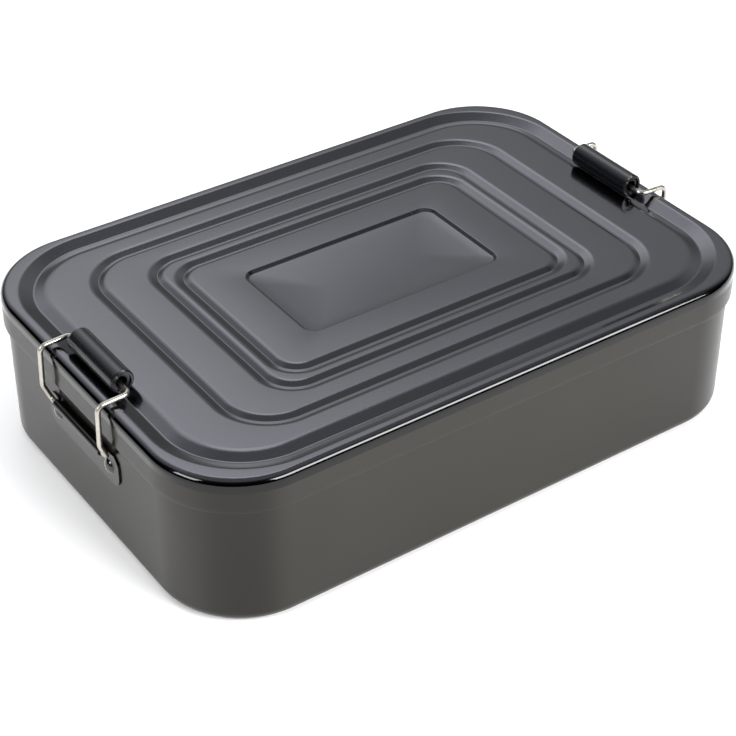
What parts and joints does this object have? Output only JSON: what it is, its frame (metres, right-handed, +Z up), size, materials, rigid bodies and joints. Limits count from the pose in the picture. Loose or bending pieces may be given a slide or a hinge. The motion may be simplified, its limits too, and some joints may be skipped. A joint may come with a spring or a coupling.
{
  "type": "metal lunch box",
  "caption": "Rounded rectangular aluminium lunch box with a pressed slip-over lid, held shut by a hinged wire bail with a plastic roller at each end.",
  "frame": {"origin": "on the table, under the middle of the box", "axes": "+X along the length towards one closure, +Y across the width, +Z up through the lid"},
  "size_m": [0.2374, 0.157, 0.0658],
  "materials": {
    "tray_metal": "smooth grey anodised",
    "lid_metal": "fine bead-blasted grey anodised",
    "bracket_metal": "grey anodised sheet",
    "rivet_metal": "grey anodised",
    "wire": "bright drawn steel wire",
    "roller_plastic": "satin black"
  },
  "bodies": {
    "tub": {"tray": "tray_metal", "bracket_left": "bracket_metal", "bracket_right": "bracket_metal", "rivets_left": "rivet_metal", "rivets_right": "rivet_metal"},
    "lid": {"lid": "lid_metal"},
    "bail_left": {"bail_left": "wire"},
    "bail_right": {"bail_right": "wire"},
    "roller_left": {"roller_left": "roller_plastic"},
    "roller_right": {"roller_right": "roller_plastic"}
  },
  "joints": [
    {"name": "lid_lift", "type": "slide", "parent": "tub", "child": "lid", "axis": [0, 0, 1], "range_m": [0, 0.16]},
    {"name": "bail_left_swing", "type": "hinge", "parent": "tub", "child": "bail_left", "pos_m": [-0.1154, 0, 0.039], "axis": [0, -1, 0], "range_deg": [0, 140]},
    {"name": "bail_right_swing", "type": "hinge", "parent": "tub", "child": "bail_right", "pos_m": [0.1154, 0, 0.039], "axis": [0, 1, 0], "range_deg": [0, 140]},
    {"name": "roller_left_turn", "type": "hinge", "parent": "bail_left", "child": "roller_left", "pos_m": [-0.1056, 0, 0.0615], "axis": [0, 1, 0], "continuous": true},
    {"name": "roller_right_turn", "type": "hinge", "parent": "bail_right", "child": "roller_right", "pos_m": [0.1056, 0, 0.0615], "axis": [0, 1, 0], "continuous": true}
  ]
}
